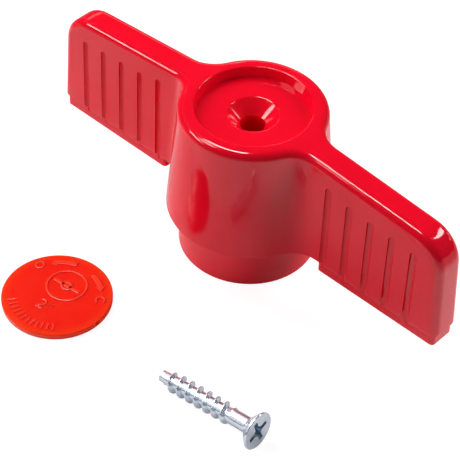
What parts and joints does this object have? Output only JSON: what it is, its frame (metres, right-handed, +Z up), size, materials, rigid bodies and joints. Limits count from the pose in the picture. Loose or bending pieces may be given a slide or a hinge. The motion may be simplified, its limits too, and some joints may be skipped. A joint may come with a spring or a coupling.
{
  "type": "seacock valve handle kit",
  "caption": "Two-wing moulded handle for a quarter-turn seacock ball valve, laid out with its round embossed cap and its countersunk thread-forming screw.",
  "frame": {"origin": "centre of the kit's footprint on the bench", "axes": "+X along the handle's wings, +Y from the loose cap and screw towards the handle, +Z up along the handle's turning axis"},
  "size_m": [0.1416, 0.0942, 0.0493],
  "materials": {
    "handle": "glossy red moulded nylon",
    "cap": "glossy orange-red moulded plastic, slightly translucent",
    "screw": "bright zinc plating with a bluish cast"
  },
  "bodies": {
    "cap": {"cap": "cap"},
    "handle": {"handle": "handle"},
    "screw": {"screw": "screw"}
  },
  "joints": [
    {"name": "handle_turn", "type": "hinge", "parent": "cap", "child": "handle", "pos_m": [0, 0.02365, 0], "axis": [0, 0, -1], "range_deg": [0, 90]},
    {"name": "screw_turn", "type": "hinge", "parent": "cap", "child": "screw", "pos_m": [0.0215, -0.03283, 0.00244], "axis": [-0.9944, -0.0573, -0.0882], "continuous": true}
  ]
}
